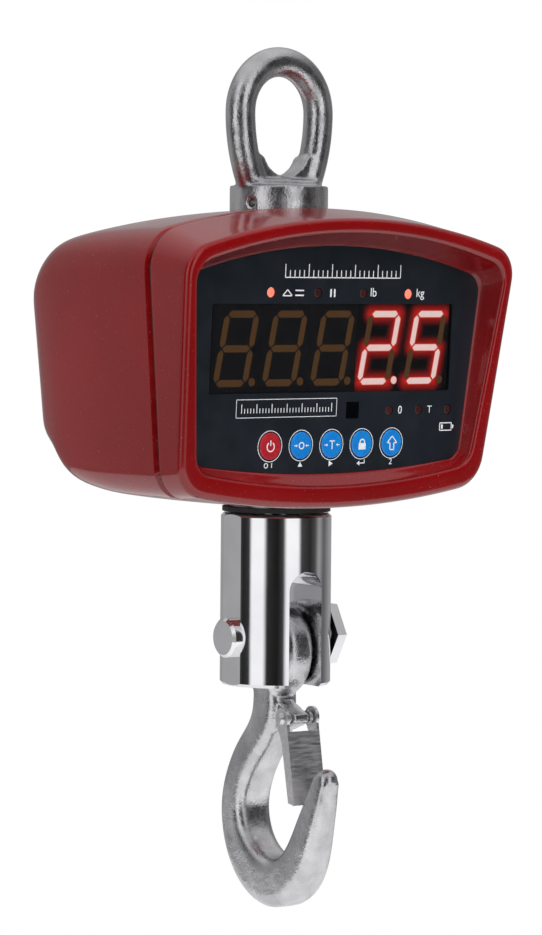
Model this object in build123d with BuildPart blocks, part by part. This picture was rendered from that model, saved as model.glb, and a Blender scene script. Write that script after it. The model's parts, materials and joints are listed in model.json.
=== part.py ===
from build123d import *
import os
from math import cos, degrees, radians, sin

# Crane scale.  Millimetres, +Z up, the display faces -Y.  The origin is the
# centre of the lifting eye, where the scale hangs from a hoist.

# ---- driving dimensions -------------------------------------------------
DIGIT_PITCH = 30.9        # digit centre to digit centre
CLEVIS_R = 28.0           # round bar that the swivel clevis is turned from
PIN_R = 10.0              # M20 pin that carries the hook
COLLAR_R = 24.8           # round collar under the lifting eye
WALL = 3.0                # housing wall
SWIVEL_TURN = -5.0        # how far the swivel is turned about Z
RUN = 0.05                # radial clearance of a running fit

# Lifting eye.
EYE_R = 25.5              # centreline of the bow
EYE_ROD = 7.5             # half of the rod's thickness
EYE_FOOT = 17.5           # half spacing of the limbs where they meet the base
COLLAR_TOP = -36.7
COLLAR_BOTTOM = -52.0
SHANK_R = 15.0
STUD_R = 8.0              # M16 studs into the load cell
STUD_LENGTH = 18.0

# Front face: the rim lies on one tilted plane, the display panel on another.
RIM_TILT = 8.0
RIM_ORIGIN = (0, -55.0, -121.7)
PANEL_TILT = 3.2
PANEL_ORIGIN = (0, -42.9, -117.5)
SEAM_Y = -30.0
GASKET = 0.6

# Housing outlines: half widths at top and bottom, heights of the middle of
# the top and bottom edges, how far these curve, and the corner radii.
RIM_OUTLINE = (107.7, 98.5, -53.0, -197.1, 17.0, 9.7, 17.0, 18.0)
SEAM_OUTLINE = (107.2, 98.5, -48.0, -197.0, 15.0, 8.5, 22.0, 17.0)
LIP_OUTLINE = (100.8, 88.6, -60.7, -185.9, 16.5, 9.0, 12.0, 11.0)
FLOOR_OUTLINE = (97.2, 86.8, -66.5, -179.9, 15.5, 6.0, 11.0, 8.0)
REAR_Y = 79.5
REAR_CORNER = 14.0        # vertical corners at the back, seen from above

# Load train inside the housing, from the top down.
BRACKET_TOP = -73.0
CELL_TOP = -76.0
CELL_BOTTOM = -152.0
CELL_HALF_W = 31.0
CELL_HALF_D = 14.0
CARRIER_R = 23.0
CARRIER_BORE = 18.0
CARRIER_BOTTOM = -198.5
CARRIER_FLOOR = -187.0
STEM_R = 12.0
STEM_TOP = -162.0
RACE_R = 17.4
RACE_T = 3.4
BALL_R = 2.0
NUT_H = 12.5

# Clevis, pin and hook.
CLEVIS_TOP = -201.2
CLEVIS_BOTTOM = -288.1
CLEVIS_FLAT = 26.9        # distance of the two side flats from the axis
SLOT_HALF = 9.85
SLOT_TOP = -229.7
PIN_Z = -263.6
HOOK_EYE_R = 24.4
HOOK_EYE_Z = -270.7
HOOK_EYE_HALF = 8.8
HOOK_BORE = 12.3
BORE_LIFT = 0.1           # play between the pin and the top of the hook's bore

# Stations along the hook: y, z, half depth in the plane of the hook, half thickness.
HOOK_STATIONS = (
    (0.0, -284.0, 10.6, 8.6),
    (0.0, -294.0, 10.0, 8.7),
    (0.8, -304.0, 10.0, 9.0),
    (5.8, -314.5, 9.8, 9.8),
    (14.2, -325.0, 9.6, 10.5),
    (21.4, -337.0, 9.2, 10.9),
    (25.3, -350.0, 9.3, 11.0),
    (24.3, -362.5, 10.0, 11.0),
    (18.4, -375.0, 11.3, 11.0),
    (7.5, -384.5, 12.4, 11.0),
    (-5.0, -388.5, 12.6, 10.8),
    (-17.3, -385.5, 11.9, 10.4),
    (-26.6, -377.5, 10.9, 9.7),
    (-32.8, -366.0, 9.6, 8.8),
    (-37.6, -353.5, 8.2, 7.7),
    (-42.4, -341.0, 6.6, 6.5),
    (-45.6, -332.5, 5.6, 5.6),
)
HOOK_CORNER = 0.6         # corner radius as a share of the smaller half size

# Latch.
LATCH_Y = -20.0
LATCH_Z = -303.7
LATCH_TILT = 10.0         # lean of the closed latch from vertical
LATCH_LENGTH = 44.0
LATCH_T = 1.6
LATCH_HALF = 9.8
LATCH_FACE = 4.2          # outer face of the web in front of the rivet axis
EAR_R = 5.4
RIVET_R = 2.1
RIVET_HEAD_R = 3.2
LUG_HALF = 5.0

# Display parts, measured across the panel (u) and up the panel (v).
OVERLAY_T = 0.8
FLOOR_T = 2.5
BOARD_FRONT = -12.5       # front of the circuit board behind the panel face
BOARD_T = 1.6
MODULE_W = 30.7
MODULE_H = 45.6
MODULE_FRONT = -0.6
WINDOW_W = 157.0
WINDOW_H = 44.0
KEY_R = 6.8
KEY_GAP = 0.3
KEY_PITCH = 19.9
KEY_ROW = (1.3, -48.1)
LAMP_R = 2.5
LAMPS = ((-42.0, 27.6), (-11.8, 27.4), (18.1, 27.2), (48.1, 27.0), (38.7, -31.6), (58.8, -31.6), (78.6, -31.7))
IR_PLACE = (14.2, -31.1)
IR_SIZE = 8.4

# Fixings.
SHELL_SCREWS = ((-89.0, -76.0), (89.0, -76.0), (-83.0, -179.0), (83.0, -179.0))
SCREW_R = 2.0
SCREW_HEAD_R = 3.5
BOSS_R = 6.0
WELL_R = 4.2
WELL_FLOOR = -9.0
BRACKET_SCREW_X = 57.0
BOARD_POSTS = ((-76.0, 29.5), (76.0, 29.5), (-76.0, -49.0), (76.0, -49.0))
POST_R = 2.6

# Rear bay.
BATTERY_X = -62.0
BATTERY_SIZE = (46.0, 58.0, 84.0)
SHELF_TOP = -165.0
DOOR_PLACE = (-56.0, -121.0)
DOOR_SIZE = (50.0, 58.0)
DOOR_SCREW_Z = 23.0
MAIN_BOARD_X = 51.0
SOCKET_PLACE = (56.0, -128.0)
SOCKET_R = 5.5

TOL = 0.01


# ---- shared planes and outlines -----------------------------------------
def facing_plane(origin, tilt):
    """A plane facing -Y whose lower edge leans back by tilt degrees."""
    return Plane(origin=origin, x_dir=(1, 0, 0), z_dir=(0, -cos(radians(tilt)), -sin(radians(tilt))))


RIM_PLANE = facing_plane(RIM_ORIGIN, RIM_TILT)
PANEL_PLANE = facing_plane(PANEL_ORIGIN, PANEL_TILT)


def back_plane(y):
    """An upright plane at depth y, facing -Y, with its height measured from the panel origin."""
    return Plane(origin=(0, y, PANEL_ORIGIN[2]), x_dir=(1, 0, 0), z_dir=(0, -1, 0))


def turned(plane):
    """The same plane, turned about Z with the swivel."""
    return Plane(origin=plane.origin.rotate(Axis.Z, SWIVEL_TURN),
                 x_dir=plane.x_dir.rotate(Axis.Z, SWIVEL_TURN),
                 z_dir=plane.z_dir.rotate(Axis.Z, SWIVEL_TURN))


def inset(outline, by):
    """The same outline, smaller by a wall thickness."""
    w_top, w_bottom, z_top, z_bottom, crown, belly, r_top, r_bottom = outline
    return (w_top - by, w_bottom - by, z_top - by, z_bottom + by, crown, belly, r_top - by, r_bottom - by)


def housing_outline(plane, outline, tilt=0.0):
    """Sketch a housing outline on a plane that leans back by tilt degrees."""
    w_top, w_bottom, z_top, z_bottom, crown, belly, r_top, r_bottom = outline
    rise = 1 / cos(radians(tilt))
    top = (z_top - plane.origin.Z) * rise
    bottom = (z_bottom - plane.origin.Z) * rise
    with BuildSketch(plane) as sketch:
        with BuildLine():
            upper = ThreePointArc((-w_top, top - crown), (0, top), (w_top, top - crown))
            right = Line(upper @ 1, (w_bottom, bottom + belly))
            lower = ThreePointArc(right @ 1, (0, bottom), (-w_bottom, bottom + belly))
            Line(lower @ 1, upper @ 0)
        make_face()
        fillet(sketch.vertices().sort_by(Axis.Y)[-2:], radius=r_top)
        fillet(sketch.vertices().sort_by(Axis.Y)[:2], radius=r_bottom)
    return sketch.sketch


def disc_facing_front(x, y, z, radius):
    """A disc at depth y that faces -Y."""
    with BuildSketch(Plane(origin=(x, y, z), x_dir=(1, 0, 0), z_dir=(0, -1, 0))) as sketch:
        Circle(radius)
    return sketch.sketch


def on_panel(depth, places, radius):
    """Discs parallel to the panel, at a depth behind its face."""
    with BuildSketch(PANEL_PLANE.offset(depth)) as sketch:
        with Locations(places):
            Circle(radius)
    return sketch.sketch


os.makedirs("parts", exist_ok=True)


# ---- front shell: wedge with a raised rim around the sunken panel --------
SHELL_FRONT_Y = SEAM_Y - GASKET / 2
SHELL_REAR_Y = SEAM_Y + GASKET / 2

with BuildPart() as front_cavity:
    behind_floor = PANEL_PLANE.offset(-OVERLAY_T / 2 - FLOOR_T)
    loft([
        housing_outline(back_plane(SHELL_FRONT_Y + 1), inset(SEAM_OUTLINE, WALL)),
        housing_outline(behind_floor, inset(SEAM_OUTLINE, WALL), PANEL_TILT),
    ])
    for x, z in SHELL_SCREWS:
        extrude(disc_facing_front(x, SHELL_FRONT_Y + 1, z, BOSS_R), amount=40, mode=Mode.SUBTRACT)
    extrude(on_panel(BOARD_FRONT, BOARD_POSTS, POST_R), amount=20, mode=Mode.SUBTRACT)

with BuildPart() as front_shell:
    loft([
        housing_outline(back_plane(SHELL_FRONT_Y), SEAM_OUTLINE),
        housing_outline(RIM_PLANE, RIM_OUTLINE, RIM_TILT),
    ])
    loft([
        housing_outline(PANEL_PLANE.offset(-OVERLAY_T / 2), FLOOR_OUTLINE, PANEL_TILT),
        housing_outline(RIM_PLANE.offset(TOL), LIP_OUTLINE, RIM_TILT),
    ], mode=Mode.SUBTRACT)
    add(front_cavity.part, mode=Mode.SUBTRACT)
    with BuildSketch(PANEL_PLANE):
        RectangleRounded(DIGIT_PITCH * 5 + 1, MODULE_H + 0.8, 1.0)
        with Locations(LAMPS):
            Circle(LAMP_R + 0.3)
        with Locations(IR_PLACE):
            Rectangle(IR_SIZE, IR_SIZE)
        with Locations(KEY_ROW):
            with GridLocations(KEY_PITCH, 1, 5, 1):
                Circle(KEY_R + KEY_GAP)
    extrude(amount=-8, mode=Mode.SUBTRACT)
    for x, z in SHELL_SCREWS:
        extrude(disc_facing_front(x, SHELL_FRONT_Y, z, SCREW_R), amount=8, mode=Mode.SUBTRACT)
front_shell.part.label = "front_shell"
export_step(front_shell.part, "parts/front_shell.step")

# ---- rear shell: deep tub with a crowned top and an undercut at the back --
def rear_body(front_y, by):
    """The space of the rear shell, smaller by a wall thickness."""
    back = REAR_Y - by
    half = SEAM_OUTLINE[0] - by
    side_plane = Plane(origin=(-half - 5, 0, 0), x_dir=(0, 1, 0), z_dir=(1, 0, 0))
    with BuildPart() as body:
        extrude(housing_outline(back_plane(front_y), inset(SEAM_OUTLINE, by)), amount=front_y - back)
        with BuildSketch(side_plane) as side:
            with BuildLine():
                crown = Line((front_y - 1, -40), (back - 46, -47 - by))
                shoulder = TangentArc(crown @ 1, (back, -86 - by), tangent=(1, -0.06))
                wall = Line(shoulder @ 1, (back - 2, -158 + by))
                lip = ThreePointArc(wall @ 1, (back - 5, -165 + by), (back - 11, -170 + by))
                under = ThreePointArc(lip @ 1, (back - 18, -177 + by), (back - 24, -185 + by))
                belly = ThreePointArc(under @ 1, (back - 36, -193 + by), (back - 58, -197.5 + by))
                keel = Line(belly @ 1, (front_y - 1, -200))
                Line(keel @ 1, crown @ 0)
            make_face()
        extrude(side.sketch, amount=2 * half + 10, mode=Mode.INTERSECT)
        with BuildSketch(Plane.XY.offset(-210)) as plan:
            with BuildLine():
                Polyline((-half - 1, front_y - 1), (-half - 1, front_y), (-half + 3, back + 1),
                         (half - 3, back + 1), (half + 1, front_y), (half + 1, front_y - 1), close=True)
            make_face()
            fillet(plan.vertices().sort_by(Axis.Y)[-2:], radius=REAR_CORNER - by)
        extrude(plan.sketch, amount=180, mode=Mode.INTERSECT)
    return body.part


with BuildPart() as rear_cavity:
    add(rear_body(SHELL_REAR_Y - 1, WALL))
    for x, z in SHELL_SCREWS:
        extrude(disc_facing_front(x, REAR_Y, z, BOSS_R), amount=REAR_Y - SHELL_REAR_Y + 2, mode=Mode.SUBTRACT)
    with BuildSketch(Plane.XY.offset(BRACKET_TOP)):
        with GridLocations(2 * BRACKET_SCREW_X, 1, 2, 1):
            Circle(BOSS_R)
    extrude(amount=40, mode=Mode.SUBTRACT)
    with Locations((-72, 45, SHELF_TOP - WALL / 2)):
        Box(74, 90, WALL, mode=Mode.SUBTRACT)
    with BuildSketch(Plane.YZ.offset(MAIN_BOARD_X + BOARD_T)):
        with Locations((30, -117)):
            with GridLocations(56, 62, 2, 2):
                Circle(POST_R)
    extrude(amount=80, mode=Mode.SUBTRACT)

door_plane = Plane(origin=(DOOR_PLACE[0], REAR_Y, DOOR_PLACE[1]), x_dir=(-1, 0, 0), z_dir=(0, 1, 0))
with BuildPart() as rear_shell:
    add(rear_body(SHELL_REAR_Y, 0))
    add(rear_cavity.part, mode=Mode.SUBTRACT)
    for x, z in SHELL_SCREWS:
        extrude(disc_facing_front(x, REAR_Y + 5, z, SCREW_R + 0.3), amount=130, mode=Mode.SUBTRACT)
        extrude(disc_facing_front(x, REAR_Y + 5, z, WELL_R), amount=REAR_Y + 5 - WELL_FLOOR, mode=Mode.SUBTRACT)
    with BuildSketch(Plane.XY.offset(COLLAR_BOTTOM - 12)):
        Circle(COLLAR_R + 0.6)
    extrude(amount=30, mode=Mode.SUBTRACT)
    with BuildSketch(Plane.XY.offset(CARRIER_BOTTOM - 5)):
        Circle(CARRIER_R + 0.6)
    extrude(amount=15, mode=Mode.SUBTRACT)
    with BuildSketch(Plane.XY.offset(BRACKET_TOP)):
        with GridLocations(2 * BRACKET_SCREW_X, 1, 2, 1):
            Circle(SCREW_R)
    extrude(amount=14, mode=Mode.SUBTRACT)
    with BuildSketch(door_plane):
        RectangleRounded(DOOR_SIZE[0] + 0.6, DOOR_SIZE[1] + 0.6, 3.3)
    extrude(amount=-1.6, mode=Mode.SUBTRACT)
    with BuildSketch(door_plane):
        RectangleRounded(DOOR_SIZE[0] - 8, DOOR_SIZE[1] - 18, 3.0)
        with GridLocations(1, 2 * DOOR_SCREW_Z, 1, 2):
            Circle(1.25)
    extrude(amount=-10, mode=Mode.SUBTRACT)
    extrude(disc_facing_front(SOCKET_PLACE[0], REAR_Y + 1, SOCKET_PLACE[1], SOCKET_R), amount=8,
            mode=Mode.SUBTRACT)
rear_shell.part.label = "rear_shell"
export_step(rear_shell.part, "parts/rear_shell.step")

# ---- gasket pinched between the shells ------------------------------------
with BuildPart() as shell_gasket:
    extrude(housing_outline(back_plane(SHELL_REAR_Y), inset(SEAM_OUTLINE, 0.5)), amount=GASKET)
    extrude(housing_outline(back_plane(SHELL_REAR_Y), inset(SEAM_OUTLINE, WALL - 0.3)), amount=GASKET,
            mode=Mode.SUBTRACT)
shell_gasket.part.label = "shell_gasket"
export_step(shell_gasket.part, "parts/shell_gasket.step")

# ---- lifting eye: bow, base, collar, shank and stud ------------------------
with BuildPart() as lifting_eye:
    with BuildLine() as bow:
        crown = ThreePointArc((-EYE_R, 0, 0), (0, 0, EYE_R), (EYE_R, 0, 0))
        TangentArc([crown @ 1, (EYE_FOOT, 0, COLLAR_TOP)], tangent=(0, 0, -1))
    with BuildLine() as limb:
        TangentArc([(-EYE_R, 0, 0), (-EYE_FOOT, 0, COLLAR_TOP)], tangent=(0, 0, -1))
    with BuildSketch(Plane(origin=bow.line @ 0, z_dir=bow.line % 0)):
        Circle(EYE_ROD)
    sweep(path=bow.line)
    with BuildSketch(Plane(origin=limb.line @ 0, z_dir=limb.line % 0)):
        Circle(EYE_ROD)
    sweep(path=limb.line)
    with BuildSketch(Plane.XZ.offset(-5.6)):
        with BuildLine():
            Polyline((-EYE_FOOT, COLLAR_TOP), (EYE_FOOT, COLLAR_TOP), (20.5, -20.0), (14.0, -22.0))
            ThreePointArc((14.0, -22.0), (0, -31.8), (-14.0, -22.0))
            Polyline((-14.0, -22.0), (-20.5, -20.0), (-EYE_FOOT, COLLAR_TOP))
        make_face()
    extrude(amount=11.2)
    with BuildSketch(Plane.XY.offset(COLLAR_TOP)):
        SlotOverall(49.0, 19.0)
    extrude(amount=3.2)
    with BuildSketch(Plane.XY.offset(COLLAR_BOTTOM)):
        Circle(COLLAR_R)
    extrude(amount=COLLAR_TOP - COLLAR_BOTTOM)
    with BuildSketch(Plane.XY.offset(BRACKET_TOP)):
        Circle(SHANK_R)
    extrude(amount=COLLAR_BOTTOM - BRACKET_TOP)
    with BuildSketch(Plane.XY.offset(CELL_TOP - STUD_LENGTH)):
        Circle(STUD_R)
    extrude(amount=STUD_LENGTH + 4)
    with BuildSketch(Plane(origin=(-COLLAR_R * cos(radians(16)), -COLLAR_R * sin(radians(16)), -45.5),
                           z_dir=(cos(radians(16)), sin(radians(16)), 0))):
        Circle(2.2)
    extrude(amount=7, mode=Mode.SUBTRACT)
lifting_eye.part.label = "lifting_eye"
export_step(lifting_eye.part, "parts/lifting_eye.step")

# ---- bracket that hangs the housing on the load train ----------------------
with BuildPart() as cell_bracket:
    with BuildSketch(Plane.XY.offset(CELL_TOP)):
        RectangleRounded(2 * BRACKET_SCREW_X + 14, 24, 5)
        Circle(STUD_R, mode=Mode.SUBTRACT)
        with GridLocations(2 * BRACKET_SCREW_X, 1, 2, 1):
            Circle(SCREW_R + 0.2, mode=Mode.SUBTRACT)
    extrude(amount=BRACKET_TOP - CELL_TOP)
cell_bracket.part.label = "cell_bracket"
export_step(cell_bracket.part, "parts/cell_bracket.step")

for number, side in enumerate((-1, 1), 1):
    with BuildPart() as bracket_screw:
        with BuildSketch(Plane.XY.offset(CELL_TOP - 3)):
            with Locations((side * BRACKET_SCREW_X, 0)):
                Circle(SCREW_HEAD_R)
        extrude(amount=3)
        with BuildSketch(Plane.XY.offset(CELL_TOP)):
            with Locations((side * BRACKET_SCREW_X, 0)):
                Circle(SCREW_R)
        extrude(amount=12)
    bracket_screw.part.label = f"bracket_screw_{number}"
    export_step(bracket_screw.part, f"parts/bracket_screw_{number}.step")

# ---- load cell: S-beam with two slots and a gauge window -------------------
CELL_MID = (CELL_TOP + CELL_BOTTOM) / 2
with BuildPart() as load_cell:
    with Locations((0, 0, CELL_MID)):
        Box(2 * CELL_HALF_W, 2 * CELL_HALF_D, CELL_TOP - CELL_BOTTOM)
    with Locations((12, 0, CELL_MID + 13), (-12, 0, CELL_MID - 13)):
        Box(2 * CELL_HALF_W - 12, 2 * CELL_HALF_D + 2, 2.5, mode=Mode.SUBTRACT)
    with BuildSketch(Plane.XZ.offset(-CELL_HALF_D - 1)):
        with Locations((0, CELL_MID)):
            Circle(9)
    extrude(amount=2 * CELL_HALF_D + 2, mode=Mode.SUBTRACT)
    with BuildSketch(Plane.XY.offset(CELL_TOP - STUD_LENGTH)):
        Circle(STUD_R)
    extrude(amount=STUD_LENGTH, mode=Mode.SUBTRACT)
    with BuildSketch(Plane.XY.offset(CELL_BOTTOM)):
        Circle(STUD_R)
    extrude(amount=STUD_LENGTH, mode=Mode.SUBTRACT)
load_cell.part.label = "load_cell"
export_step(load_cell.part, "parts/load_cell.step")

for name, y in (("front", -CELL_HALF_D - 1), ("rear", CELL_HALF_D)):
    with BuildPart() as cell_cover:
        with Locations((0, y + 0.5, CELL_MID)):
            Box(40, 1, 22)
    cell_cover.part.label = f"cell_cover_{name}"
    export_step(cell_cover.part, f"parts/cell_cover_{name}.step")

# ---- swivel carrier: cage that holds the thrust bearing --------------------
with BuildPart() as swivel_carrier:
    with BuildSketch(Plane.XY.offset(CARRIER_BOTTOM)):
        Circle(CARRIER_R)
    extrude(amount=CELL_BOTTOM - CARRIER_BOTTOM)
    with BuildSketch(Plane.XY.offset(CARRIER_FLOOR)):
        Circle(CARRIER_BORE)
    extrude(amount=-160 - CARRIER_FLOOR, mode=Mode.SUBTRACT)
    with BuildSketch(Plane.XY.offset(CARRIER_BOTTOM)):
        Circle(STEM_R + RUN)
    extrude(amount=20, mode=Mode.SUBTRACT)
    with Locations((0, 0, (CARRIER_FLOOR - 160) / 2)):
        Box(60, 22, -160 - CARRIER_FLOOR - 6, mode=Mode.SUBTRACT)
    with BuildSketch(Plane.XY.offset(CELL_BOTTOM)):
        Circle(STUD_R)
    extrude(amount=STUD_LENGTH)
swivel_carrier.part.label = "swivel_carrier"
export_step(swivel_carrier.part, "parts/swivel_carrier.step")

# ---- thrust bearing ---------------------------------------------------------
BEARING_MID = CARRIER_FLOOR + RACE_T + BALL_R
UPPER_RACE_Z = BEARING_MID + BALL_R + 0.1
NUT_BOTTOM = UPPER_RACE_Z + RACE_T

for name, z, bore in (("lower", CARRIER_FLOOR, STEM_R + 0.3), ("upper", UPPER_RACE_Z, STEM_R)):
    with BuildPart() as race:
        with BuildSketch(Plane.XY.offset(z)):
            Circle(RACE_R)
            Circle(bore, mode=Mode.SUBTRACT)
        extrude(amount=RACE_T)
    race.part.label = f"bearing_race_{name}"
    export_step(race.part, f"parts/bearing_race_{name}.step")

with BuildPart() as bearing_cage:
    with BuildSketch(Plane.XY.offset(BEARING_MID - 0.8)):
        Circle(RACE_R - 0.4)
        Circle(STEM_R + 0.6, mode=Mode.SUBTRACT)
    extrude(amount=1.6)
    with Locations((0, 0, BEARING_MID)):
        with PolarLocations((RACE_R + STEM_R) / 2, 14):
            Sphere(BALL_R)
bearing_cage.part.label = "bearing_cage"
export_step(bearing_cage.part, "parts/bearing_cage.step")

# ---- clevis: turned bar with a stem, two flats and a slot for the hook -----
with BuildPart() as clevis:
    with BuildSketch(turned(Plane.XY.offset(CLEVIS_BOTTOM))):
        Circle(CLEVIS_R)
    extrude(amount=CLEVIS_TOP - CLEVIS_BOTTOM)
    chamfer(clevis.edges().filter_by(GeomType.CIRCLE), length=1.6)
    for side in (-1, 1):
        with BuildSketch(turned(Plane.YZ.offset(side * CLEVIS_FLAT))):
            with Locations((0, (CLEVIS_TOP + CLEVIS_BOTTOM) / 2)):
                Rectangle(2 * CLEVIS_R, CLEVIS_TOP - CLEVIS_BOTTOM + 2)
        extrude(amount=side * 5, mode=Mode.SUBTRACT)
    with BuildSketch(turned(Plane.XZ.offset(-CLEVIS_R - 1))):
        with Locations((0, (SLOT_TOP + CLEVIS_BOTTOM - 20) / 2)):
            SlotOverall(SLOT_TOP - CLEVIS_BOTTOM + 20, 2 * SLOT_HALF, rotation=90)
    extrude(amount=2 * CLEVIS_R + 2, mode=Mode.SUBTRACT)
    with BuildSketch(turned(Plane.YZ.offset(-CLEVIS_R - 1))):
        with Locations((0, PIN_Z)):
            Circle(PIN_R)
    extrude(amount=2 * CLEVIS_R + 2, mode=Mode.SUBTRACT)
    with BuildSketch(Plane.XY.offset(CLEVIS_TOP)):
        Circle(STEM_R)
    extrude(amount=STEM_TOP - CLEVIS_TOP)
clevis.part.label = "clevis"
export_step(clevis.part, "parts/clevis.step")

with BuildPart() as stem_nut:
    with BuildSketch(Plane.XY.offset(NUT_BOTTOM)):
        RegularPolygon(17.0, 6)
        Circle(STEM_R, mode=Mode.SUBTRACT)
    extrude(amount=NUT_H)
stem_nut.part.label = "stem_nut"
export_step(stem_nut.part, "parts/stem_nut.step")

# ---- rubber seal between the housing and the clevis -------------------------
with BuildPart() as swivel_seal:
    with BuildSketch(Plane.XY.offset(-200.4)):
        Circle(CLEVIS_R - 0.6)
        Circle(CARRIER_R, mode=Mode.SUBTRACT)
    extrude(amount=2.3)
swivel_seal.part.label = "swivel_seal"
export_step(swivel_seal.part, "parts/swivel_seal.step")

# ---- pin: hexagon head on the right, thread end on the left -----------------
with BuildPart() as hook_pin:
    with BuildSketch(turned(Plane.YZ.offset(-CLEVIS_FLAT - 5.3))):
        with Locations((0, PIN_Z)):
            Circle(PIN_R)
    extrude(amount=2 * CLEVIS_FLAT + 5.3)
    chamfer(hook_pin.faces().sort_by(Axis.X)[0].edges(), length=1.4)
    with BuildSketch(turned(Plane.YZ.offset(CLEVIS_FLAT))):
        with Locations((0, PIN_Z)):
            RegularPolygon(15.0, 6, major_radius=False)
    extrude(amount=5.4)
hook_pin.part.label = "hook_pin"
export_step(hook_pin.part, "parts/hook_pin.step")

# ---- hook: forged eye, curved body and tip ----------------------------------
def hook_section(index):
    """The rounded section of the hook at one station, square to its centreline."""
    y, z, half_depth, half_width = HOOK_STATIONS[index]
    before = HOOK_STATIONS[max(index - 1, 0)]
    after = HOOK_STATIONS[min(index + 1, len(HOOK_STATIONS) - 1)]
    along = Vector(0, after[0] - before[0], after[1] - before[1])
    plane = turned(Plane(origin=(0, y, z), x_dir=(1, 0, 0), z_dir=along))
    with BuildSketch(plane) as sketch:
        RectangleRounded(2 * half_width, 2 * half_depth, HOOK_CORNER * min(half_width, half_depth))
    return sketch.sketch


BORE_Z = PIN_Z + PIN_R + BORE_LIFT - HOOK_BORE
tip_y, tip_z, tip_r = HOOK_STATIONS[-1][:3]
with BuildPart() as hook:
    with BuildSketch(turned(Plane.YZ.offset(-HOOK_EYE_HALF))):
        with Locations((0, HOOK_EYE_Z)):
            Circle(HOOK_EYE_R)
    extrude(amount=2 * HOOK_EYE_HALF)
    fillet(hook.edges().filter_by(GeomType.CIRCLE), radius=6.0)
    loft([hook_section(index) for index in range(len(HOOK_STATIONS))])
    with Locations(Vector(0, tip_y, tip_z).rotate(Axis.Z, SWIVEL_TURN)):
        Sphere(tip_r)
    with BuildSketch(turned(Plane.YZ.offset(-LUG_HALF))):
        with BuildLine():
            Polyline((-4, -292), (-9, -296), (LATCH_Y - 3.6, LATCH_Z + 2), (LATCH_Y - 3.6, LATCH_Z - 2.5),
                     (LATCH_Y + 1, LATCH_Z - 4.5), (-2, -314), (-4, -292))
        make_face()
    extrude(amount=2 * LUG_HALF)
    with BuildSketch(turned(Plane.YZ.offset(-HOOK_EYE_HALF - 1))):
        with Locations((0, BORE_Z)):
            Circle(HOOK_BORE)
    extrude(amount=2 * HOOK_EYE_HALF + 2, mode=Mode.SUBTRACT)
    with BuildSketch(turned(Plane.YZ.offset(-LUG_HALF - 1))):
        with Locations((LATCH_Y, LATCH_Z)):
            Circle(RIVET_R)
    extrude(amount=2 * LUG_HALF + 2, mode=Mode.SUBTRACT)
hook.part.label = "hook"
export_step(hook.part, "parts/hook.step")

# ---- latch rivet, spring and latch ------------------------------------------
RIVET_PLACE = (LATCH_Y, LATCH_Z)
with BuildPart() as latch_rivet:
    with BuildSketch(turned(Plane.YZ.offset(-LATCH_HALF - 0.1))):
        with Locations(RIVET_PLACE):
            Circle(RIVET_R)
    extrude(amount=2 * LATCH_HALF + 0.2)
    for side in (-1, 1):
        with BuildSketch(turned(Plane.YZ.offset(side * (LATCH_HALF + 0.1)))):
            with Locations(RIVET_PLACE):
                Circle(RIVET_HEAD_R)
        extrude(amount=side * 1.7, taper=35)
latch_rivet.part.label = "latch_rivet"
export_step(latch_rivet.part, "parts/latch_rivet.step")

with BuildPart() as latch_spring:
    for side in (-1, 1):
        with BuildSketch(turned(Plane.YZ.offset(side * (LUG_HALF + 0.1)))):
            with Locations(RIVET_PLACE):
                Circle(3.7)
                Circle(RIVET_R, mode=Mode.SUBTRACT)
        extrude(amount=side * 2.7)
latch_spring.part.label = "latch_spring"
export_step(latch_spring.part, "parts/latch_spring.step")

lean = radians(LATCH_TILT)
LATCH_PLANE = turned(Plane(origin=(0, LATCH_Y, LATCH_Z), x_dir=(0, -cos(lean), sin(lean)), z_dir=(1, 0, 0)))
with BuildPart() as latch:
    for side in (-1, 1):
        with BuildSketch(LATCH_PLANE.offset(side * LATCH_HALF)):
            Circle(EAR_R)
            with BuildLine():
                Polyline((-EAR_R, 0), (0, -EAR_R), (LATCH_FACE, -1.0), (LATCH_FACE, LATCH_LENGTH),
                         (-1.0, LATCH_LENGTH - 1.5), (-1.8, 12), (-EAR_R, 0))
            make_face()
            Circle(RIVET_R + RUN, mode=Mode.SUBTRACT)
        extrude(amount=-side * LATCH_T)
    with BuildSketch(LATCH_PLANE.offset(-LATCH_HALF)):
        with Locations((LATCH_FACE - LATCH_T / 2, (LATCH_LENGTH + 7.0) / 2)):
            Rectangle(LATCH_T, LATCH_LENGTH - 7.0)
    extrude(amount=2 * LATCH_HALF)
latch.part.label = "latch"
export_step(latch.part, "parts/latch.step")

# ---- display overlay, windows and board -------------------------------------
with BuildPart() as display_overlay:
    extrude(housing_outline(PANEL_PLANE.offset(-OVERLAY_T / 2), inset(FLOOR_OUTLINE, 0.2), PANEL_TILT),
            amount=OVERLAY_T)
    with BuildSketch(PANEL_PLANE.offset(-OVERLAY_T)):
        RectangleRounded(WINDOW_W, WINDOW_H, 1.5)
        with Locations(LAMPS):
            Circle(LAMP_R)
        with Locations(IR_PLACE):
            Rectangle(IR_SIZE, IR_SIZE)
        with Locations(KEY_ROW):
            with GridLocations(KEY_PITCH, 1, 5, 1):
                Circle(KEY_R + KEY_GAP)
    extrude(amount=2 * OVERLAY_T, mode=Mode.SUBTRACT)
display_overlay.part.label = "display_overlay"
export_step(display_overlay.part, "parts/display_overlay.step")

with BuildPart() as display_window:
    with BuildSketch(PANEL_PLANE.offset(-OVERLAY_T / 2)):
        RectangleRounded(WINDOW_W, WINDOW_H, 1.5)
    extrude(amount=OVERLAY_T)
display_window.part.label = "display_window"
export_step(display_window.part, "parts/display_window.step")

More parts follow.
